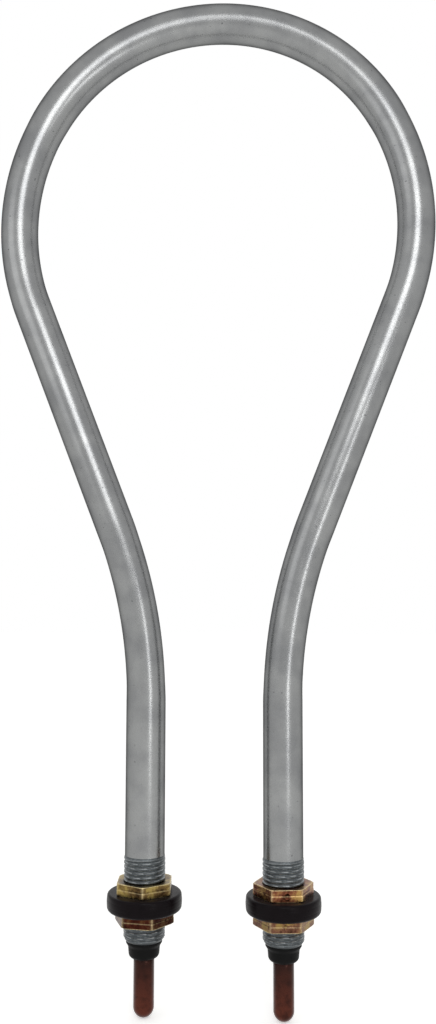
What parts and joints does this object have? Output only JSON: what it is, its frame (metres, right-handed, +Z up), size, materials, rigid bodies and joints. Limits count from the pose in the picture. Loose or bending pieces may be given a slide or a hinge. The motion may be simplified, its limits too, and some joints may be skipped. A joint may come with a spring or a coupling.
{
  "type": "water heater element",
  "caption": "Tubular electric water heater element: bulb-shaped metal loop on parallel threaded legs, with thin hexagon nuts, thick gaskets and round terminal pins.",
  "frame": {"origin": "midway between the axes of the two legs, in the plane of the underside of the gaskets, which seals against the tank wall", "axes": "+Z runs up the legs into the tank, +X from the left leg to the right one, and the loop lies in the XZ plane"},
  "size_m": [0.1554, 0.0254, 0.355],
  "materials": {
    "stainless_tube": "bright drawn stainless steel with a grainy satin highlight",
    "packed_magnesia": "packed magnesium oxide powder, off-white and dull",
    "resistance_wire": "nickel-chromium wire, dull grey",
    "terminal_pin": "copper-plated steel, darkened to red-brown",
    "black_bush": "black moulded plastic, dull",
    "silicone_resin": "cured silicone resin",
    "left_upper_nut_chromate": "zinc plate with a yellow chromate film, olive gold",
    "right_upper_nut_chromate": "zinc plate with a yellow chromate film, mottled coppery gold",
    "left_lower_nut_chromate": "zinc plate with a yellow chromate film, dark red-brown",
    "right_lower_nut_chromate": "zinc plate with a yellow chromate film, mottled pinkish brown",
    "gasket_rubber": "black rubber, dull on top and satin on its side"
  },
  "bodies": {
    "root": {"sheath": "stainless_tube", "magnesia_fill": "packed_magnesia", "magnesia_core": "packed_magnesia", "resistance_coil": "resistance_wire", "left_terminal_pin": "terminal_pin", "right_terminal_pin": "terminal_pin", "left_end_bush": "black_bush", "right_end_bush": "black_bush", "left_end_seal": "silicone_resin", "right_end_seal": "silicone_resin", "left_upper_nut": "left_upper_nut_chromate", "right_upper_nut": "right_upper_nut_chromate", "left_lower_nut": "left_lower_nut_chromate", "right_lower_nut": "right_lower_nut_chromate", "left_gasket": "gasket_rubber", "right_gasket": "gasket_rubber"}
  },
  "joints": []
}
